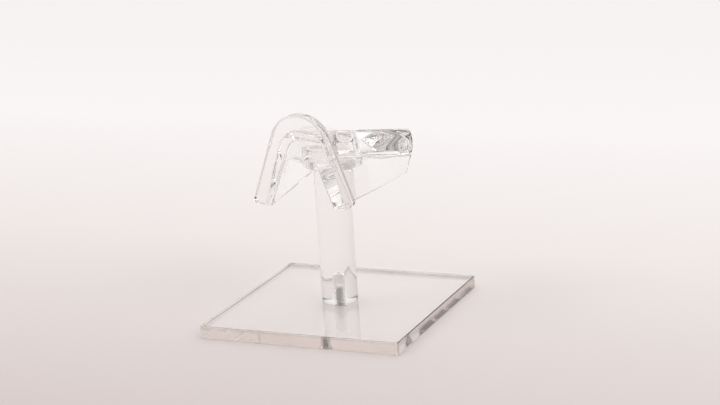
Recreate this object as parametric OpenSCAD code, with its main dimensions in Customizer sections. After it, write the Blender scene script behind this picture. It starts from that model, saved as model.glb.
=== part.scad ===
// Clear acrylic stand that displays one pair of eyeglasses.
// Four pieces: a square base plate, an upright rod, the countersunk screw that
// pulls the rod down onto the plate, and a moulded nose-shaped saddle on the rod.
// Frame: origin at the centre of the plate's underside, +Z up, millimetres.
// The saddle's lip, which faces the customer, looks along -Y.

/* [Base plate] */
// Side of the square plate
plate_side = 70; // [60:1:90]
// Thickness of the plate
plate_t = 4.3; // [4:0.1:5]
// Radius of the plate's upright corners
plate_corner_r = 0.8; // [0.5:0.1:3]
// Polished bevel along the plate's edges
plate_bevel = 0.3; // [0.1:0.05:0.4]

/* [Post] */
// Diameter of the rod
post_d = 12; // [11:0.5:13]
// Polished bevel round the rod's two ends
post_bevel = 0.3; // [0.1:0.05:0.5]
// Diameter of the blind hole in the rod's foot
pilot_d = 2.8; // [2.75:0.05:3]
// Depth of that hole, without its drill point
pilot_depth = 9.7; // [8:0.1:12]

/* [Screw] */
// Shank diameter, at the pitch line of the thread
screw_d = 2.66; // [2.5:0.02:2.7]
// Length of the screw with its head
screw_length = 10; // [8:0.5:12]
// Diameter of the countersunk head
screw_head_d = 5.6; // [5:0.1:6]

/* [Saddle] */
// Height of the saddle's feet above the table
foot_z = 43; // [40:0.5:55]
// Reach of the saddle in front of the rod's axis
saddle_front = 24; // [22:0.2:26]
// Reach of the saddle behind the rod's axis
saddle_back = 22; // [20:0.2:24]
// Thickness of the lip
lip_t = 4; // [3:0.1:5]
// Height of the lip above the feet
lip_rise = 30.3; // [29.6:0.1:33]
// Width across the feet of the lip
lip_foot_w = 36.2; // [35.4:0.2:40]
// Height of the bridge seat above the feet, just behind the lip
seat_rise = 24.6; // [24.2:0.1:25]
// Height of the tail's top above the feet
tail_rise = 15.6; // [15:0.1:17]
// Width of the saddle across its widest place, at the tail
tail_w = 41.8; // [40.6:0.2:43]
// Thickness of the saddle's two side walls
wall_t = 2.6; // [2.2:0.1:2.8]

/* [Socket] */
// Outer diameter of the socket's mouth
socket_d = 18; // [17:0.5:19]
// Height of the socket's mouth above the feet
socket_rise = 8; // [7:0.1:9]
// Depth of the socket, from its mouth to its blind end
socket_depth = 8; // [7:0.1:8.5]

/* [Hidden] */
$fn = 96;

cut = 1;                // how far a cutting shape runs past the face that it cuts
arc_steps = 7;          // segments in a rounded corner of the saddle
roof_steps = 4;         // segments in half of the saddle's roof
loft_steps = 12;        // slices along the saddle

// Plate and rod
screw_hole_d = 3.3;
head_gap = 0.1;         // room all round the screw's head in its countersink
drill_point_angle = 118;
post_z = plate_t;

// Screw
screw_sunk = 0.15;      // how far the head lies above the plate's underside
head_land = 0.25;       // upright rim of the head
head_cone_h = (screw_head_d - screw_d) / 2;
tip_bevel = 0.5;
recess_w = 0.8;
recess_span = 2.9;
recess_depth = 1.1;

// Socket
socket_z = foot_z + socket_rise;
socket_gap = 0.05;      // running fit of the rod in its socket
end_gap = 0.2;          // room above the rod for the cement
post_top_z = socket_z + socket_depth - end_gap;
socket_flare = 2.2;     // how much wider the socket is at its root
socket_flare_h = 6;
mouth_bevel = 0.4;

// Saddle: y of its two ends, and half widths, heights and radii of its sections
lip_y = -saddle_front;
shell_y = lip_y + lip_t / 2;
tail_y = saddle_back;
foot_lean = 20;         // lean of the lip's two legs from upright
lip_r = 10.1;
lip_corner_r = 2.2;
opening_half = 10.9;
niche_rise = 22;        // round-topped niche in the lip's face, above the tunnel
niche_r = 4.2;
niche_depth = 1.2;
seat_r = 6.8;
seat_waist_rise = 12;
leg_bulge = 0.25;       // how far the legs' outer sides swell at the front
tail_half = 17.5;
tail_waist_rise = 10.6;
tail_corner_in = 1.1;   // how far the roof's corners lie inside the widest place
tail_r = 1.6;
waist_r = 9;
roof_dip = 1.9;         // dip of the roof between the two corners of the tail
wall_corner_r = 0.9;    // rounding along the lower edge of the walls
front_ceiling_rise = 15.5;
front_ceiling_r = 1.6;
front_keel = 1.1;       // how far the keel under the roof hangs below the ceiling
tail_ceiling_rise = 8.6;
tail_ceiling_half = 18.6;
tail_ceiling_r = 2.2;
tail_keel = 4.2;
tail_wall_t = 1.9;      // the side walls thin out towards the tail
least_flat = 0.1;       // shortest flat between two roundings

// Half width, between its corner points, of a top that is round all over with radius r,
// on legs that start foot_half from the middle and are rise high
function round_top(r, foot_half, rise) =
    let (to_centre = [foot_half, rise - r],
         leg = atan2(to_centre[1], to_centre[0]) + asin(r / norm(to_centre)))
    r * tan(leg / 2) + least_flat;

// Value that goes from a at the lip to b at the tail
function blend(a, b, t) = a + (b - a) * t;

function unit(v) = v / norm(v);
function mirrored(points) = [for (p = points) [-p[0], p[1]]];
function backwards(points) = [for (i = [len(points) - 1 : -1 : 0]) points[i]];
function all_but_first(points) = [for (i = [1 : len(points) - 1]) points[i]];

// Arc of radius r that rounds point p between its neighbours a and b
function corner(a, p, b, r) =
    let (u = unit(a - p),
         v = unit(b - p),
         half = acos(u * v) / 2,
         centre = p + unit(u + v) * r / sin(half),
         start = p + u * r / tan(half) - centre,
         end = p + v * r / tan(half) - centre,
         side = start[0] * end[1] - start[1] * end[0] > 0 ? 1 : -1,
         first = atan2(start[1], start[0]),
         sweep = side * (180 - 2 * half))
    [for (i = [0 : arc_steps])
        let (angle = first + sweep * i / arc_steps) centre + r * [cos(angle), sin(angle)]];

// Right half of an outline from its corner points, the first of them at the foot.
// The foot is rounded towards x = foot + foot_side, and the top, which is level from
// the last corner to the middle, dips there by dip.
function half_outline(points, radii, foot_side, dip) =
    let (n = len(points),
         top = points[n - 1][1],
         before = points[0] + [foot_side, 0],
         after = [0, top],
         arcs = [for (i = [0 : n - 1]) each corner(
             i == 0 ? before : points[i - 1], points[i], i == n - 1 ? after : points[i + 1], radii[i])],
         flat = arcs[len(arcs) - 1][0])
    concat(arcs, [for (i = [1 : roof_steps])
        let (x = flat * (1 - i / roof_steps)) [x, top - dip * (1 + cos(180 * x / flat)) / 2]]);

// Whole outline from its right half
function whole(half) = concat(half, all_but_first(backwards(mirrored(half))));

// Outline of the foot_half wide legs and round top of an upright arch
function arch(foot_half, rise, foot_r, top_r, foot_side) = whole(half_outline(
    [[foot_half, 0], [round_top(top_r, foot_half, rise), rise]], [foot_r, top_r], foot_side, 0));

lip_outline = arch(lip_foot_w / 2, lip_rise, lip_corner_r, lip_r, -1);
niche_outline = arch(opening_half, niche_rise, wall_corner_r, niche_r, 1);

// Outside of the saddle behind the lip, at a fraction t of its length
function shell_outline(t) =
    let (seat_foot = [opening_half + wall_t / cos(foot_lean), 0],
         seat_top = [round_top(seat_r, seat_foot[0], seat_rise), seat_rise],
         seat_waist = seat_foot + (seat_top - seat_foot) * seat_waist_rise / seat_rise + [leg_bulge, 0],
         top = blend(seat_top, [tail_w / 2 - tail_corner_in, tail_rise], t),
         waist = blend(seat_waist, [tail_w / 2, tail_waist_rise], t),
         foot = blend(seat_foot, [tail_half, 0], t))
    whole(half_outline([foot, waist, top], [wall_corner_r, waist_r, blend(seat_r, tail_r, t)],
        -1, roof_dip * t));

// Tunnel through the saddle, open downwards
function tunnel_outline(t) =
    let (front_half = opening_half - front_ceiling_rise * tan(foot_lean),
         half = half_outline(
            [[blend(opening_half, tail_half - tail_wall_t, t), 0],
                [blend(front_half, tail_ceiling_half, t), blend(front_ceiling_rise, tail_ceiling_rise, t)]],
            [wall_corner_r, blend(front_ceiling_r, tail_ceiling_r, t)],
            1, blend(front_keel, tail_keel, t)))
    whole(concat([[half[0][0], -cut]], half));

// Solid through outlines that stand in planes of constant y
module loft(outlines, ys) {
    n = len(outlines[0]);
    last = len(outlines) - 1;
    points = [for (k = [0 : last]) each [for (p = outlines[k]) [p[0], ys[k], p[1]]]];
    sides = [for (k = [0 : last - 1]) each [for (i = [0 : n - 1]) each
        let (a = k * n + i, b = k * n + (i + 1) % n) [[a, b, b + n], [a, b + n, a + n]]]];
    front = [for (i = [n - 1 : -1 : 0]) i];
    back = [for (i = [0 : n - 1]) last * n + i];
    polyhedron(points, concat([front], sides, [back]));
}

// Shape turned about the z axis from its [radius, height] points
module turned(points) {
    rotate_extrude() polygon(points);
}

module plate_blank() {
    core = plate_side - 2 * plate_corner_r;
    linear_extrude(plate_t) {
        square([plate_side, core], center = true);
        square([core, plate_side], center = true);
        for (x = [-core, core] / 2, y = [-core, core] / 2)
            translate([x, y]) circle(plate_corner_r);
    }
}

// Slice of the plate, with its bevels, that runs through the plate along x
module bevel_envelope() {
    half = plate_side / 2;
    b = plate_bevel;
    rotate([90, 0, 90])
        linear_extrude(plate_side + 2 * cut, center = true)
            polygon([[-half + b, 0], [half - b, 0], [half, b], [half, plate_t - b],
                [half - b, plate_t], [-half + b, plate_t], [-half, plate_t - b], [-half, b]]);
}

module base_plate() {
    rim_r = screw_head_d / 2 + head_gap;
    hole_r = screw_hole_d / 2;
    seat_h = screw_sunk + head_land;
    color([0.86, 0.90, 0.90, 0.45])
        difference() {
            intersection() {
                plate_blank();
                bevel_envelope();
                rotate([0, 0, 90]) bevel_envelope();
            }
            translate([0, 0, -cut]) cylinder(h = plate_t + 2 * cut, r = hole_r);
            turned([[0, -cut], [rim_r, -cut], [rim_r, seat_h],
                [hole_r, seat_h + rim_r - hole_r], [0, seat_h + rim_r - hole_r]]);
        }
}

module post() {
    r = post_d / 2;
    h = post_top_z - post_z;
    b = post_bevel;
    pilot_r = pilot_d / 2;
    point_h = pilot_r / tan(drill_point_angle / 2);
    color([0.90, 0.93, 0.94, 0.45])
        translate([0, 0, post_z])
            difference() {
                turned([[0, 0], [r - b, 0], [r, b], [r, h - b], [r - b, h], [0, h]]);
                translate([0, 0, -cut]) cylinder(h = pilot_depth + cut, r = pilot_r);
                translate([0, 0, pilot_depth]) cylinder(h = point_h, r1 = pilot_r, r2 = 0);
            }
}

module base_screw() {
    shank_r = screw_d / 2;
    head_r = screw_head_d / 2;
    color([0.66, 0.67, 0.66])
        translate([0, 0, screw_sunk])
            difference() {
                turned([[0, 0], [head_r, 0], [head_r, head_land],
                    [shank_r, head_land + head_cone_h], [shank_r, screw_length - tip_bevel],
                    [shank_r - tip_bevel, screw_length], [0, screw_length]]);
                for (angle = [0, 90])
                    rotate([0, 0, angle])
                        translate([-recess_span / 2, -recess_w / 2, -cut])
                            cube([recess_span, recess_w, recess_depth + cut]);
            }
}

// Solid that the tunnel leaves round the rod's upper end
module socket_core() {
    r = socket_d / 2;
    top = foot_z + lip_rise;
    turned([[0, socket_z], [r - mouth_bevel, socket_z], [r, socket_z + mouth_bevel],
        [r + socket_flare, socket_z + socket_flare_h], [r + socket_flare, top], [0, top]]);
}

// Plate of thickness t in front of y, from an outline that stands on the feet
module upright(outline, y, t) {
    translate([0, y, foot_z])
        rotate([90, 0, 0]) linear_extrude(t) polygon(outline);
}

module saddle_blank() {
    upright(lip_outline, lip_y + lip_t, lip_t);
    steps = [for (k = [0 : loft_steps]) k / loft_steps];
    translate([0, 0, foot_z])
        loft([for (t = steps) shell_outline(t)], [for (t = steps) blend(shell_y, tail_y, t)]);
}

module tunnel() {
    steps = [for (k = [0 : loft_steps]) k / loft_steps];
    translate([0, 0, foot_z])
        loft([for (t = [0, each steps, 1]) tunnel_outline(t)],
            [lip_y - cut, for (t = steps) blend(shell_y, tail_y, t), tail_y + cut]);
}

module nose_saddle() {
    color([0.92, 0.94, 0.95, 0.4])
        difference() {
            saddle_blank();
            difference() {
                tunnel();
                socket_core();
            }
            upright(niche_outline, lip_y + niche_depth, niche_depth + cut);
            translate([0, 0, socket_z - cut])
                cylinder(h = socket_depth + cut, r = post_d / 2 + socket_gap);
        }
}

base_plate();
post();
base_screw();
nose_saddle();
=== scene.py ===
"""Looks of a clear acrylic stand for one pair of eyeglasses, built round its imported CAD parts.

Metres, +Z up, the saddle's lip looks along -Y. Four pieces replace the four CAD nodes: a polished
square plate, a round rod, the M3 screw that joins them, and the moulded nose-shaped saddle.
Lengths named in millimetres are multiplied by MM where they are used.
"""

import math

import bmesh
import bpy
import numpy as np
import openvdb
from mathutils import Matrix, Vector


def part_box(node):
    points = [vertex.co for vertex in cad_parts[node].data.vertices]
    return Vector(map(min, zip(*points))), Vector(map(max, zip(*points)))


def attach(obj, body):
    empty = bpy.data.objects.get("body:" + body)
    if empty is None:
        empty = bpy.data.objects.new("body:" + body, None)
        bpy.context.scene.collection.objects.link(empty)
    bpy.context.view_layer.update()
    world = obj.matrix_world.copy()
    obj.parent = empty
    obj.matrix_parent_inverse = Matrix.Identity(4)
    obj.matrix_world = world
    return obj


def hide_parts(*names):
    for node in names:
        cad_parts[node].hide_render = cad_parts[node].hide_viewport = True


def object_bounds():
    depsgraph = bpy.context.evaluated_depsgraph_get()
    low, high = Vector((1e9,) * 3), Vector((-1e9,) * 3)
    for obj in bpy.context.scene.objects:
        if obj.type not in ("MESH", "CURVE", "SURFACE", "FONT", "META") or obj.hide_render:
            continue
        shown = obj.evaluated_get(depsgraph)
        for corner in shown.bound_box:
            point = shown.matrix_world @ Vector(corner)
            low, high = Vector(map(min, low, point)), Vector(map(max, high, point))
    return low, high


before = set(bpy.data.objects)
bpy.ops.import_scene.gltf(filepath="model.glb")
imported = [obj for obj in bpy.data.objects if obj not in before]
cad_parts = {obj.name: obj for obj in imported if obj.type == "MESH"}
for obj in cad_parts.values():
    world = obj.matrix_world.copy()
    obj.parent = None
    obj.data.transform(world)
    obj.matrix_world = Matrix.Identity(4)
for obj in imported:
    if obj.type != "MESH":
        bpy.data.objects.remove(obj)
cad_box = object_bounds()

MM = 0.001

# ---------------------------------------------------------------- driving dimensions, mm and degrees

PLATE_CORNER_R = 0.8
PLATE_EDGE_R = 0.3
SCREW_HOLE_R = 1.65
HEAD_ROOM = 0.1  # between the screw's head and its countersink
HOLE_EDGE_R = 0.12
PLATE_SIDE_STEPS = 6
PLATE_CORNER_STEPS = 6
PLATE_EDGE_STEPS = 4
HOLE_EDGE_STEPS = 3

ROD_EDGE_R = 0.3
ROD_LIFT = 0.02  # film of air between the rod's foot and the plate
PILOT_R = 1.4
PILOT_DEPTH = 9.7
DRILL_POINT_ANGLE = 118
ROD_SEGMENTS = 96
ROD_EDGE_STEPS = 5
PILOT_STEP = 0.01  # height in which the formed thread ends and the plain hole goes on

THREAD_PITCH = 0.5
THREAD_R = 1.5
THREAD_DEPTH = 0.31
THREAD_ROOM = 0.015  # between the screw's thread and the rod's
THREAD_FLAT = 0.12  # share of a half turn that the crest takes, and the root
THREAD_SLICES = 8  # in one turn
HEAD_LAND = 0.25
HEAD_EDGE = 0.06
TIP_BEVEL = 0.5
TIP_INSET = 0.2
SCREW_SEGMENTS = 64
RECESS_W = 0.8
RECESS_SPAN = 2.9
RECESS_DEPTH = 1.1
RECESS_TAPER = 0.22  # how far each side wall leans in between the mouth and the floor
RECESS_END_TAPER = 2.6  # how many times more the ends of the cross lean in
RECESS_OVERRUN = 0.3  # how far the cutting shape stands out of the head

SHARP_ANGLE = 40  # in degrees

# ---------------------------------------------------------------- small helpers


def blend(a, b, t):
    return a + (b - a) * t


def new_object(name, mesh):
    thing = bpy.data.objects.new(name, mesh)
    bpy.context.scene.collection.objects.link(thing)
    return thing


def new_piece(name, mesh, node):
    """Links a finished mesh as a piece that stands for one CAD node."""
    piece = new_object(name, mesh)
    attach(piece, "root")
    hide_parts(node)
    return piece


def add_loop(bm, points):
    return [bm.verts.new(p) for p in points]


def bridge(bm, lower, upper, material=0):
    """Quads between two closed loops with the same number of vertices."""
    n = len(lower)
    for i in range(n):
        j = (i + 1) % n
        face = bm.faces.new((lower[i], lower[j], upper[j], upper[i]))
        face.material_index = material
        face.smooth = True


def cap(bm, loop, centre, material=0, flip=False):
    """Fan that closes a loop at a point."""
    tip = bm.verts.new(centre)
    n = len(loop)
    for i in range(n):
        a, b = loop[i], loop[(i + 1) % n]
        face = bm.faces.new((b, a, tip) if flip else (a, b, tip))
        face.material_index = material
        face.smooth = True


def to_mesh(bm, name, materials):
    mesh = bpy.data.meshes.new(name)
    bm.to_mesh(mesh)
    bm.free()
    for m in materials:
        mesh.materials.append(m)
    return mesh


def flatten_big_faces(piece):
    """Flat faces keep flat normals, and all the bending happens in the roundings between them."""
    modifier = piece.modifiers.new("flat_faces", "WEIGHTED_NORMAL")
    modifier.mode = "FACE_AREA"
    modifier.weight = 100
    modifier.keep_sharp = True


def arc(centre, r, start, end, steps):
    """Points on an arc, in degrees, both ends included."""
    angles = np.radians(np.linspace(start, end, steps + 1))
    return [(centre[0] + r * math.cos(a), centre[1] + r * math.sin(a)) for a in angles]


# ---------------------------------------------------------------- materials


class Nodes:
    """Short calls for building a node tree."""

    def __init__(self, tree):
        self.tree = tree
        tree.nodes.clear()

    def add(self, kind, **inputs):
        node = self.tree.nodes.new(kind)
        for name, value in inputs.items():
            self.set(node, name.replace("_", " "), value)
        return node

    def set(self, node, name, value):
        if isinstance(value, bpy.types.NodeSocket):
            self.tree.links.new(value, node.inputs[name])
        else:
            node.inputs[name].default_value = value

    def noise(self, vector, scale, detail=2.0):
        node = self.add("ShaderNodeTexNoise", Vector=vector, Scale=scale, Detail=detail)
        return node.outputs["Fac"]

    def ramp(self, fac, low, high, start=0.3, end=0.7):
        """Value that runs from low to high while fac runs from start to end."""
        node = self.add("ShaderNodeMapRange", Value=fac, From_Min=start, From_Max=end)
        self.set(node, "To Min", low)
        self.set(node, "To Max", high)
        return node.outputs["Result"]

    def colours(self, fac, tones):
        """Colour that runs through these (place, colour) tones as fac runs from 0 to 1."""
        node = self.tree.nodes.new("ShaderNodeValToRGB")
        self.tree.links.new(fac, node.inputs["Fac"])
        marks = node.color_ramp.elements
        for _ in range(len(tones) - 2):
            marks.new(0.5)
        for mark, (place, colour) in zip(marks, tones):
            mark.position = place
            mark.color = (*colour, 1)
        return node.outputs["Color"]

    def scaled(self, vector, scale):
        return self.add("ShaderNodeMapping", Vector=vector, Scale=scale).outputs["Vector"]

    def bump(self, height, distance, strength=1.0, **under):
        node = self.add("ShaderNodeBump", Height=height, Distance=distance, Strength=strength, **under)
        return node.outputs["Normal"]

    def finish(self, surface, volume=None):
        """Joins these shaders to the material's output."""
        out = self.add("ShaderNodeOutputMaterial", Surface=surface.outputs[0])
        if volume is not None:
            self.set(out, "Volume", volume.outputs[0])


ACRYLIC_IOR = 1.49
FACE_TINT = (0.99, 0.985, 0.982)
EDGE_SHADE_TINT = (0.83, 0.76, 0.725)  # painted shade: the shaded floor seen through the edges, laid into their colour
TINT_SPREAD = 0.7  # tint left where the material is clearest
SWELL_SCALE = 45  # slow swells in a metre of surface
DEPTH_COLOUR = (0.82, 0.80, 0.79, 1.0)
DEPTH_DENSITY = 3.0

ZINC_TONES = ((0.2, (0.80, 0.81, 0.79)), (0.8, (0.96, 0.96, 0.93)))
ZINC_BLOTCH_SCALE = 900
ZINC_MARKS = (3000, 3000, 14000)  # how often the turning marks repeat in a metre along x, y and z
ZINC_METALLIC = 0.8
ZINC_ROUGH = (0.3, 0.5)
ZINC_RELIEF = 0.00001
ZINC_RELIEF_STRENGTH = 0.6


def new_material(name):
    material = bpy.data.materials.new(name)
    material.use_nodes = True
    return material, Nodes(material.node_tree)


def acrylic(name, marks, rough, relief, waves=0.00001, tint=FACE_TINT):
    """Clear acrylic. marks is how often the fine marks repeat in a metre along x, y and z, rough their range
    of roughness, relief their height in metres, and waves the height of the slow swell of the surface."""
    material, n = new_material(name)
    place = n.add("ShaderNodeTexCoord").outputs["Object"]
    cloud = n.noise(place, SWELL_SCALE, 3)
    fine = n.noise(n.scaled(place, marks), 1.0, 4)
    clearest = tuple(1 - TINT_SPREAD * (1 - c) for c in tint)
    shader = n.add(
        "ShaderNodeBsdfPrincipled",
        Base_Color=n.colours(cloud, ((0.3, tint), (0.7, clearest))),
        Roughness=n.ramp(fine, rough[0], rough[1]),
        Normal=n.bump(fine, relief, Normal=n.bump(cloud, waves)),
        Transmission_Weight=1.0,
        IOR=ACRYLIC_IOR,
    )
    depth = n.add("ShaderNodeVolumeAbsorption", Color=DEPTH_COLOUR, Density=DEPTH_DENSITY)
    n.finish(shader, depth)
    return material


def zinc_plated_steel(name):
    """Bright plating with slightly darker blotches and fine turning marks across the axis."""
    material, n = new_material(name)
    place = n.add("ShaderNodeTexCoord").outputs["Object"]
    blotch = n.noise(place, ZINC_BLOTCH_SCALE, 4)
    grain = n.noise(n.scaled(place, ZINC_MARKS), 1.0, 3)
    shader = n.add(
        "ShaderNodeBsdfPrincipled",
        Base_Color=n.colours(blotch, ZINC_TONES),
        Metallic=ZINC_METALLIC,
        Roughness=n.ramp(grain, *ZINC_ROUGH),
        Normal=n.bump(grain, ZINC_RELIEF, ZINC_RELIEF_STRENGTH),
    )
    n.finish(shader)
    return material


# ---------------------------------------------------------------- base plate


def plate_outline(half, corner_r):
    """Rounded square as a closed list of points, half wide each way."""
    points = []
    for quarter in range(4):
        turn = Matrix.Rotation(math.radians(90 * quarter), 2)
        core = half - corner_r
        corner = arc((core, core), corner_r, 0, 90, PLATE_CORNER_STEPS)
        side = [(core - 2 * core * i / PLATE_SIDE_STEPS, half) for i in range(1, PLATE_SIDE_STEPS)]
        points += [turn @ Vector(p) for p in corner + side]
    return points


def make_plate():
    """Plate with rounded edges, its hole open at the top and countersunk from below."""
    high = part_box("base_plate")[1]
    half, t = high.x / MM, high.z / MM
    e = PLATE_EDGE_R
    head_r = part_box("base_screw")[1].x / MM
    rim_r = head_r + HEAD_ROOM
    cone_top = HEAD_ROOM + HEAD_LAND + rim_r - SCREW_HOLE_R

    lower_edge = arc((-e, e), e, -90, 0, PLATE_EDGE_STEPS)
    upper_edge = arc((-e, t - e), e, 0, 90, PLATE_EDGE_STEPS)
    bm = bmesh.new()
    loops = []
    for out, z in lower_edge + upper_edge:
        outline = plate_outline(half + out, PLATE_CORNER_R + out)
        loops.append(add_loop(bm, [(p.x * MM, p.y * MM, z * MM) for p in outline]))
    for lower, upper in zip(loops, loops[1:]):
        bridge(bm, lower, upper, 1)

    directions = [p.normalized() for p in plate_outline(half, PLATE_CORNER_R)]
    r = HOLE_EDGE_R
    hole = arc((SCREW_HOLE_R + r, t - r), r, 90, 180, HOLE_EDGE_STEPS)
    hole += [(SCREW_HOLE_R, cone_top), (rim_r, cone_top - (rim_r - SCREW_HOLE_R))]
    hole += arc((rim_r + r, r), r, 180, 270, HOLE_EDGE_STEPS)
    rings = []
    for radius, z in hole:
        rings.append(add_loop(bm, [(d.x * radius * MM, d.y * radius * MM, z * MM) for d in directions]))
    bridge(bm, loops[-1], rings[0], 0)
    for upper, lower in zip(rings, rings[1:]):
        bridge(bm, upper, lower, 2)
    bridge(bm, rings[-1], loops[0], 0)
    bmesh.ops.recalc_face_normals(bm, faces=bm.faces)

    sheet = acrylic("cast_sheet_face", marks=(60, 60, 60), rough=(0.0, 0.02), relief=0.000001)
    edge = acrylic(
        "polished_edge",
        marks=(90, 90, 9000),
        rough=(0.01, 0.06),
        relief=0.000003,
        waves=0.000002,
        tint=EDGE_SHADE_TINT,
    )
    drilled = acrylic("drilled_sheet", marks=(2000, 2000, 16000), rough=(0.08, 0.25), relief=0.00001)
    mesh = to_mesh(bm, "clear_plate", [sheet, edge, drilled])
    flatten_big_faces(new_piece("clear_plate", mesh, "base_plate"))


# ---------------------------------------------------------------- rod and screw


def thread_wave(z, angle):
    """How far a point lies below the thread's crest, as a share of the thread's depth."""
    phase = (z / THREAD_PITCH - angle / (2 * math.pi)) % 1.0
    return min(1.0, max(0.0, (abs(phase - 0.5) * 2 - THREAD_FLAT) / (1 - 2 * THREAD_FLAT)))


def thread_radius(z, angle, fade):
    """Radius of the thread's surface. fade runs from 0, a plain core, to 1, the full thread."""
    core = THREAD_R - THREAD_DEPTH
    return core + THREAD_DEPTH * (1 - thread_wave(z, angle)) * fade


def ring(radius_of, z, segments, base_z):
    """Points round the Z axis, z above base_z. radius_of gives the radius for a height and an angle."""
    points = []
    for i in range(segments):
        angle = 2 * math.pi * i / segments
        r = radius_of(z, angle)
        points.append((r * math.cos(angle) * MM, r * math.sin(angle) * MM, (z + base_z) * MM))
    return points


def plain(radius):
    return lambda z, angle: radius


def make_rod():
    """Rod with a blind hole in its foot, threaded as far as the screw reaches."""
    low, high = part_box("post")
    r, base = high.x / MM, low.z / MM + ROD_LIFT
    length = high.z / MM - base
    e = ROD_EDGE_R
    screw_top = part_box("base_screw")[1].z / MM - base
    point_depth = PILOT_R / math.tan(math.radians(DRILL_POINT_ANGLE / 2))

    def hole_radius(z, angle):
        formed = thread_radius(z + base, angle, 1.0) + THREAD_ROOM
        return max(PILOT_R, formed) if z < screw_top else PILOT_R

    bm = bmesh.new()
    profile = arc((r - e, e), e, -90, 0, ROD_EDGE_STEPS) + arc((r - e, length - e), e, 0, 90, ROD_EDGE_STEPS)
    outer = [add_loop(bm, ring(plain(radius), z, ROD_SEGMENTS, base)) for radius, z in profile]
    for lower, upper in zip(outer, outer[1:]):
        bridge(bm, lower, upper, 0)
    cap(bm, outer[-1], (0, 0, high.z), 1)

    steps = int(screw_top / (THREAD_PITCH / THREAD_SLICES))
    heights = [screw_top * i / steps for i in range(steps + 1)] + [screw_top + PILOT_STEP, PILOT_DEPTH]
    hole = [add_loop(bm, ring(hole_radius, z, ROD_SEGMENTS, base)) for z in heights]
    bridge(bm, hole[0], outer[0], 1)
    for lower, upper in zip(hole, hole[1:]):
        bridge(bm, upper, lower, 2)
    cap(bm, hole[-1], (0, 0, (base + PILOT_DEPTH + point_depth) * MM), 2, True)
    bmesh.ops.recalc_face_normals(bm, faces=bm.faces)

    polished = acrylic("rod_surface", marks=(1500, 1500, 20), rough=(0.0, 0.035), relief=0.0000015)
    sawn = acrylic("rod_end", marks=(2500, 2500, 2500), rough=(0.08, 0.2), relief=0.000006)
    drilled = acrylic("drilled_rod", marks=(1500, 1500, 16000), rough=(0.15, 0.42), relief=0.00001)
    mesh = to_mesh(bm, "acrylic_rod", [polished, sawn, drilled])
    mark_sharp(mesh)
    new_piece("acrylic_rod", mesh, "post")


def mark_sharp(mesh):
    """Edges that turn by more than the sharp angle stay crisp."""
    bm = bmesh.new()
    bm.from_mesh(mesh)
    for edge in bm.edges:
        if len(edge.link_faces) == 2 and edge.calc_face_angle() > math.radians(SHARP_ANGLE):
            edge.smooth = False
    bm.to_mesh(mesh)
    bm.free()


def make_screw():
    """Countersunk screw: head with a cross recess, cone, and a thread that runs out at both ends."""
    low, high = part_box("base_screw")
    head_r, bottom = high.x / MM, low.z / MM
    length = high.z / MM - bottom
    core = THREAD_R - THREAD_DEPTH
    cone_top = HEAD_LAND + head_r - core
    tip_r = core - TIP_INSET

    def threaded(z, angle):
        run_in = min(1.0, max(0.0, (z - cone_top) / THREAD_PITCH))
        run_out = min(1.0, max(0.0, (length - z) / TIP_BEVEL))
        return min(thread_radius(z + bottom, angle, run_in), blend(tip_r, THREAD_R, run_out))

    bm = bmesh.new()
    e = HEAD_EDGE
    head = [(head_r - e, 0), (head_r, e), (head_r, HEAD_LAND - e), (head_r - e, HEAD_LAND + e / 2)]
    loops = [add_loop(bm, ring(plain(radius), z, SCREW_SEGMENTS, bottom)) for radius, z in head]
    steps = int((length - cone_top) / (THREAD_PITCH / THREAD_SLICES))
    for i in range(steps + 1):
        z = blend(cone_top, length, i / steps)
        loops.append(add_loop(bm, ring(threaded, z, SCREW_SEGMENTS, bottom)))
    for lower, upper in zip(loops, loops[1:]):
        bridge(bm, lower, upper)
    cap(bm, loops[0], (0, 0, low.z), flip=True)
    cap(bm, loops[-1], (0, 0, high.z))
    bmesh.ops.recalc_face_normals(bm, faces=bm.faces)
    mesh = to_mesh(bm, "countersunk_screw", [zinc_plated_steel("zinc_plated_steel")])
    piece = new_piece("countersunk_screw", mesh, "base_screw")
    cut_recess(piece, low.z)
    mark_sharp(piece.data)


def cut_recess(piece, face_z):
    """Cross recess with walls that taper to its floor."""
    bm = bmesh.new()
    for turn in (0, 90):
        spin = Matrix.Rotation(math.radians(turn), 2)
        levels = []
        for depth in (-RECESS_OVERRUN, RECESS_DEPTH):
            grow = -RECESS_TAPER * depth / RECESS_DEPTH
            x, y = RECESS_SPAN / 2 + RECESS_END_TAPER * grow, RECESS_W / 2 + grow
            corners = [spin @ Vector(p) for p in ((x, y), (-x, y), (-x, -y), (x, -y))]
            levels.append(add_loop(bm, [(c.x * MM, c.y * MM, face_z + depth * MM) for c in corners]))
        for lower, upper in zip(levels, levels[1:]):
            bridge(bm, lower, upper)
        bm.faces.new(levels[0][::-1])
        bm.faces.new(levels[-1])
    bmesh.ops.recalc_face_normals(bm, faces=bm.faces)
    tool = new_object("recess_tool", to_mesh(bm, "recess_tool", []))
    boolean = piece.modifiers.new("recess", "BOOLEAN")
    boolean.operation = "DIFFERENCE"
    boolean.solver = "EXACT"
    boolean.use_self = True
    boolean.object = tool
    bpy.context.view_layer.update()
    cut = bpy.data.meshes.new_from_object(piece.evaluated_get(bpy.context.evaluated_depsgraph_get()))
    piece.modifiers.clear()
    piece.data = cut
    bpy.data.objects.remove(tool)


# ---------------------------------------------------------------- saddle
# The saddle is the zero surface of a distance function, in millimetres. x is taken without its sign, because
# the saddle is symmetric, and z counts from its feet. A field is negative inside its shape.

# Lip, and the round-topped niche in its face above the opening
LIP_T = 4.0
LIP_FOOT_HALF = 18.1
LIP_TOP_R = 10.1
LIP_FOOT_R = 2.2
LIP_EDGE_R = 0.75
OPENING_HALF = 10.9
NICHE_RISE = 22.0
NICHE_R = 4.2
NICHE_DEPTH = 1.2

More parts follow.
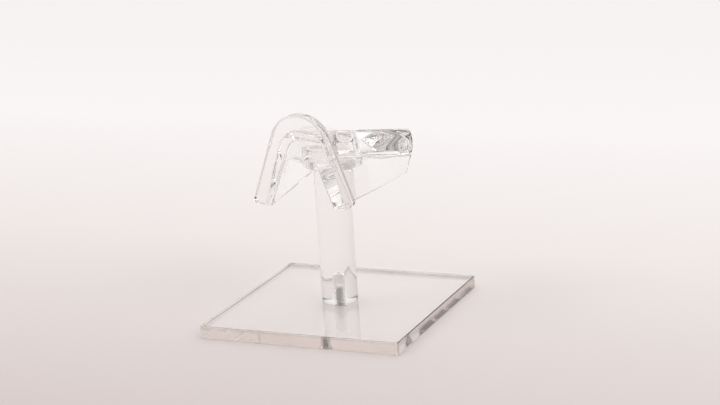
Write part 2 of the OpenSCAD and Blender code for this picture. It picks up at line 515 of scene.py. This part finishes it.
# Shell, from the bridge seat just behind the lip to the end of the tail
WALL_T = 2.6
LEAN = 20.0  # of the front legs from upright, in degrees
SEAT_RISE = 24.6
SEAT_R = 6.8
SEAT_TOP_HALF = 4.9
SEAT_WAIST_RISE = 12.0
LEG_BULGE = 0.25  # how far the front legs' outer sides swell at their waist
TAIL_RISE = 15.6
TAIL_R = 1.6
TAIL_CORNER_HALF = 19.8
TAIL_HALF = 20.9
TAIL_WAIST_RISE = 10.6
TAIL_FOOT_HALF = 17.5
TAIL_WALL_T = 1.9
WAIST_R = 9.0
ROOF_DIP = 1.9  # of the tail's top between its corners
LEAST_HALF = 0.5  # of the flat part of a roof or ceiling

# Tunnel under the roof: half width, rise, corner radius and depth of the keel at each end
CEILING_FRONT = (5.26, 15.5, 1.6, 1.1)
CEILING_TAIL = (18.6, 8.6, 2.2, 4.2)

# Socket for the rod, which hangs from the roof and widens towards it
SOCKET_RISE = 8.0
SOCKET_R = 9.0
SOCKET_DEPTH = 8.0
SOCKET_FLARE = 2.2
SOCKET_FLARE_H = 6.0
SOCKET_ROOM = 0.05

# Roundings
FOOT_R = 0.9
SOCKET_EDGE_R = 0.5
BORE_EDGE_R = 0.2
CUT_EDGE_R = 0.45
END_EDGE_R = 0.6
LIP_FILLET = 0.8
ROOF_FILLET = 0.9

# Mesh
GRID = 0.22
MARGIN_CELLS = 3  # cells of empty space round the saddle, and depth to which the field is kept
FLAT_MERGE = 0.0002  # how readily cells on a flat stretch become one face
SLOPE_STEP = 0.02
LEAST_SLOPE = 0.5


def rounded(a, b, r, turn=0.0):
    """Intersection of two fields whose edge is rounded to radius r. turn is their gradients' dot product."""
    a, b = a + r, b + r
    along_a = (a - turn * b) / (1 - turn * turn)
    along_b = (b - turn * a) / (1 - turn * turn)
    reach = np.sqrt(np.maximum(along_a**2 + along_b**2 + 2 * turn * along_a * along_b, 0))
    return np.where((along_a > 0) & (along_b > 0), reach, np.maximum(a, b)) - r


def joined(a, b, r):
    """Union of two fields with a fillet of radius r."""
    return -rounded(-a, -b, r)


def line(x, z, start, end):
    """Distance from a line through two points, positive to the right of it going up, and its unit normal."""
    dx, dz = end[0] - start[0], end[1] - start[1]
    size = np.hypot(dx, dz)
    nx, nz = dz / size, -dx / size
    return (x - start[0]) * nx + (z - start[1]) * nz, nx, nz


def arch(x, z, foot_half, rise, top_r):
    """Two leaning legs that meet in a round top."""
    centre_z = rise - top_r
    leg = math.atan2(centre_z, foot_half) + math.asin(top_r / math.hypot(foot_half, centre_z))
    nx, nz = math.sin(leg), math.cos(leg)
    sides = (x - foot_half) * nx + z * nz
    above = (z - centre_z) * nx - x * nz > 0
    return np.where(above, np.hypot(x, z - centre_z) - top_r, sides), nz


def waved(x, z, level, half, dip):
    """Roof or ceiling at a level that sinks by dip in its middle."""
    phase = np.clip(x / half, 0, 1) * math.pi
    height = level - dip * (1 + np.cos(phase)) / 2
    slope = dip * np.sin(phase) * math.pi / half / 2
    return (z - height) / np.sqrt(1 + slope**2)


def lip_field(x, y, z, front, rise):
    """Upright plate with two leaning legs, a round top and round feet."""
    flat, lean = arch(x, z, LIP_FOOT_HALF, rise, LIP_TOP_R)
    flat = rounded(flat, -z, LIP_FOOT_R, -lean)
    return rounded(flat, np.abs(y - front - LIP_T / 2) - LIP_T / 2, LIP_EDGE_R)


def shell_field(x, y, z, front, back):
    """Solid under the roof, whose section changes evenly from the seat at the front to the tail."""
    t = np.clip((y - front) / (back - front), 0, 1)
    seat_foot = OPENING_HALF + WALL_T / math.cos(math.radians(LEAN))
    waist_share = SEAT_WAIST_RISE / SEAT_RISE
    foot = (blend(seat_foot, TAIL_FOOT_HALF, t), 0)
    waist_half = blend(seat_foot, SEAT_TOP_HALF, waist_share) + LEG_BULGE
    waist = (blend(waist_half, TAIL_HALF, t), blend(SEAT_WAIST_RISE, TAIL_WAIST_RISE, t))
    top = (blend(SEAT_TOP_HALF, TAIL_CORNER_HALF, t), blend(SEAT_RISE, TAIL_RISE, t))
    lower, lx, lz = line(x, z, foot, waist)
    upper, ux, uz = line(x, z, waist, top)
    sides = rounded(lower, upper, WAIST_R, lx * ux + lz * uz)
    top_r = blend(SEAT_R, TAIL_R, t)
    roof = waved(x, z, top[1], np.maximum(top[0] - top_r, LEAST_HALF), ROOF_DIP * t)
    body = rounded(sides, roof, top_r, uz)
    body = rounded(body, -z, FOOT_R, -lz)
    return rounded(body, np.maximum(y - back, front - y), END_EDGE_R)


def tunnel_field(x, y, z, front, back):
    """Space between the side walls, open at both ends and below, with a keel along its ceiling."""
    t = np.clip((y - front) / (back - front), 0, 1)
    half, rise, r, keel = (blend(a, b, t) for a, b in zip(CEILING_FRONT, CEILING_TAIL))
    foot_half = blend(OPENING_HALF, TAIL_FOOT_HALF - TAIL_WALL_T, t)
    sides, _, nz = line(x, z, (foot_half, 0), (half, rise))
    ceiling = waved(x, z, rise, np.maximum(half - r, LEAST_HALF), keel)
    return rounded(sides, ceiling, r, nz)


def socket_field(x, y, z):
    """Round boss that stands in the tunnel and reaches up to its ceiling."""
    flare = np.clip((z - SOCKET_RISE) / SOCKET_FLARE_H, 0, 1)
    return rounded(np.hypot(x, y) - SOCKET_R - SOCKET_FLARE * flare, SOCKET_RISE - z, SOCKET_EDGE_R)


def saddle_field(points, front, back, rise, bore_r):
    """The whole saddle: lip and shell, less the tunnel round the socket, the niche and the socket's bore."""
    x, y, z = np.abs(points[..., 0]), points[..., 1], points[..., 2]
    shell_front = front + LIP_T / 2
    body = joined(lip_field(x, y, z, front, rise), shell_field(x, y, z, shell_front, back), LIP_FILLET)
    hollow = rounded(tunnel_field(x, y, z, shell_front, back), -socket_field(x, y, z), ROOF_FILLET)
    body = rounded(body, -hollow, CUT_EDGE_R)
    niche = np.maximum(arch(x, z, OPENING_HALF, NICHE_RISE, NICHE_R)[0], y - front - NICHE_DEPTH)
    body = rounded(body, -niche, CUT_EDGE_R)
    bore = rounded(np.hypot(x, y) - bore_r, z - SOCKET_RISE - SOCKET_DEPTH, BORE_EDGE_R)
    return rounded(body, -bore, BORE_EDGE_R)


def slope_of(field, points):
    """Gradient of the field at each point."""
    slope = np.empty_like(points)
    for axis in range(3):
        shift = np.zeros(3)
        shift[axis] = SLOPE_STEP
        slope[:, axis] = (field(points + shift) - field(points - shift)) / (2 * SLOPE_STEP)
    return slope


def direction_of(field, points):
    """Outward direction of the field's surface at each point."""
    slope = slope_of(field, points)
    return slope / np.linalg.norm(slope, axis=1, keepdims=True)


def pulled_onto(points, field, rounds=4):
    """Moves points along the field's slope until they lie on its zero surface."""
    for _ in range(rounds):
        slope = slope_of(field, points)
        size = np.maximum((slope**2).sum(1), LEAST_SLOPE**2)
        points = points - slope * np.clip(field(points) / size, -GRID / 2, GRID / 2)[:, None]
    return points


def evened(points, faces, field, rounds=4):
    """Slides points along the surface towards the middle of their neighbours, for evener faces."""
    starts = np.concatenate([f.ravel() for f in faces])
    ends = np.concatenate([np.roll(f, -1, axis=1).ravel() for f in faces])
    degree = np.bincount(starts, minlength=len(points)) + np.bincount(ends, minlength=len(points))
    for _ in range(rounds):
        total = np.zeros_like(points)
        np.add.at(total, starts, points[ends])
        np.add.at(total, ends, points[starts])
        out = direction_of(field, points)
        shift = total / degree[:, None] - points
        shift -= out * (shift * out).sum(1, keepdims=True)
        points = pulled_onto(points + shift / 2, field, 2)
    return points


def make_saddle():
    """Meshes the saddle's field and gives each vertex the field's own normal."""
    low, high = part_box("nose_saddle")
    front, back, rise = low.y / MM, high.y / MM, (high.z - low.z) / MM
    bore_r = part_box("post")[1].x / MM + SOCKET_ROOM

    def field(points):
        return saddle_field(points, front, back, rise, bore_r)

    margin = MARGIN_CELLS * GRID
    start = np.array([low.x / MM - margin, front - margin, -margin])
    count = np.ceil((np.array([high.x / MM, back, rise]) + margin - start) / GRID).astype(int) + 1
    axes = [start[k] + GRID * np.arange(count[k]) for k in range(3)]
    grid = np.stack(np.meshgrid(*axes, indexing="ij"), -1)
    volume = openvdb.FloatGrid(background=margin)
    volume.copyFromArray(np.clip(field(grid), -margin, margin).astype(np.float32))
    corners, triangles, quads = volume.convertToPolygons(isovalue=0.0, adaptivity=FLAT_MERGE)
    corners = pulled_onto(corners.astype(float) * GRID + start, field)
    corners = evened(corners, (triangles, quads), field)
    mesh = bpy.data.meshes.new("moulded_saddle")
    places = (corners + (0, 0, low.z / MM)) * MM
    mesh.from_pydata(places.tolist(), [], triangles.tolist() + quads.tolist())
    mesh.shade_smooth()
    mesh.normals_split_custom_set_from_vertices(direction_of(field, corners).tolist())
    moulded = acrylic("moulded_acrylic", marks=(120, 40, 120), rough=(0.0, 0.03), relief=0.000002)
    mesh.materials.append(moulded)
    new_piece("moulded_saddle", mesh, "nose_saddle")


make_plate()
make_rod()
make_screw()
make_saddle()

# ---------------------------------------------------------------- stage, light and camera

FLOOR_SIDE = 8.0
FLOOR_GAP = 0.00005  # of air under the plate, so that the two faces don't coincide
# Painted light and shade: the floor's colour runs from darker near the camera to brighter far off, where
# more light falls.
FLOOR_PAINTED_LIGHT_TONES = ((0.0, (0.60, 0.52, 0.51)), (0.62, (0.885, 0.85, 0.835)), (1.0, (0.99, 0.98, 0.98)))
FLOOR_PAINTED_LIGHT_SPAN = (-0.2, 0.25)  # where along y the first and the last tone lie


def make_floor():
    """Pale floor with painted light and shade: its colour darkens towards the camera's side and brightens to
    the far side.
    """
    bm = bmesh.new()
    half = FLOOR_SIDE / 2
    bm.faces.new(add_loop(bm, [(half, half, 0), (-half, half, 0), (-half, -half, 0), (half, -half, 0)]))
    material, n = new_material("pale_floor")
    place = n.add("ShaderNodeTexCoord").outputs["Object"]
    along = n.add("ShaderNodeSeparateXYZ", Vector=place).outputs["Y"]
    tone = n.colours(n.ramp(along, 0.0, 1.0, *FLOOR_PAINTED_LIGHT_SPAN), FLOOR_PAINTED_LIGHT_TONES)
    n.finish(n.add("ShaderNodeBsdfPrincipled", Base_Color=tone, Roughness=0.8, Specular_IOR_Level=0.0))
    floor = new_object("pale_floor", to_mesh(bm, "pale_floor", [material]))
    floor.location.z = cad_box[0].z - FLOOR_GAP


LAMPS = {"left_lamp": (-0.8, -0.45, 0.9), "right_lamp": (0.9, -0.3, 0.8)}
LAMP_AIM = (0, 0, 0.02)
LAMP_SIDE = 0.4
LAMP_POWER = 1.6
SKY_COLOUR = (1.0, 0.97, 0.965, 1.0)
SKY_STRENGTH = (0.0, 1.21)  # darkest and brightest
SKY_SPREAD = (-0.1, 0.9)  # cosines of the angles from the bright side at which those two are reached
SKY_BRIGHT_SIDE = (-0.1, 0.35, 0.93)


def make_lamp(name, place):
    data = bpy.data.lights.new(name, "AREA")
    data.size = LAMP_SIDE
    data.energy = LAMP_POWER
    lamp = new_object(name, data)
    lamp.location = place
    lamp.rotation_mode = "QUATERNION"
    lamp.rotation_quaternion = (Vector(LAMP_AIM) - Vector(place)).to_track_quat("-Z", "Y")


def make_sky():
    """A sky that is bright overhead, dimmer behind the stand and darkest on the camera's side."""
    world = bpy.data.worlds.new("studio")
    bpy.context.scene.world = world
    world.use_nodes = True
    n = Nodes(world.node_tree)
    towards = n.tree.nodes.new("ShaderNodeVectorMath")
    towards.operation = "DOT_PRODUCT"
    n.tree.links.new(n.add("ShaderNodeTexCoord").outputs["Generated"], towards.inputs[0])
    towards.inputs[1].default_value = SKY_BRIGHT_SIDE
    strength = n.ramp(towards.outputs["Value"], *SKY_STRENGTH, *SKY_SPREAD)
    sky = n.add("ShaderNodeBackground", Color=SKY_COLOUR, Strength=strength)
    n.add("ShaderNodeOutputWorld", Surface=sky.outputs[0])


CAMERA_AZIMUTH = 24.35  # to the right of the saddle's front
CAMERA_ELEVATION = 15.5
CAMERA_ROLL = -3.69
CAMERA_LENS = 99.25
CAMERA_DISTANCE = 0.6547  # from the middle of the CAD box
CAMERA_SIDE = 0.00855  # how far the line of sight passes to the right of that middle
CAMERA_LIFT = 0.00145
CAMERA_REACH = (0.01, 50)


def make_camera():
    azimuth, elevation = math.radians(CAMERA_AZIMUTH), math.radians(CAMERA_ELEVATION)
    level = Vector((math.sin(azimuth), -math.cos(azimuth), 0))
    back = level * math.cos(elevation) + Vector((0, 0, math.sin(elevation)))
    turn = (-back).to_track_quat("-Z", "Y").to_matrix() @ Matrix.Rotation(math.radians(CAMERA_ROLL), 3, "Z")
    right, up = turn.col[0], turn.col[1]
    centre = (cad_box[0] + cad_box[1]) / 2
    data = bpy.data.cameras.new("camera")
    data.lens = CAMERA_LENS
    data.clip_start, data.clip_end = CAMERA_REACH
    camera = new_object("camera", data)
    camera.location = centre + right * CAMERA_SIDE + up * CAMERA_LIFT + back * CAMERA_DISTANCE
    camera.rotation_mode = "QUATERNION"
    camera.rotation_quaternion = turn.to_quaternion()
    bpy.context.scene.camera = camera


make_floor()
for lamp_name, lamp_place in LAMPS.items():
    make_lamp(lamp_name, lamp_place)
make_sky()
make_camera()

BOUNCES = 24  # light crosses many faces on its way through the clear pieces

scene = bpy.context.scene
scene.view_settings.view_transform = "Standard"
scene.cycles.max_bounces = BOUNCES
scene.cycles.transmission_bounces = BOUNCES
scene.cycles.glossy_bounces = BOUNCES
scene.cycles.blur_glossy = 0.0
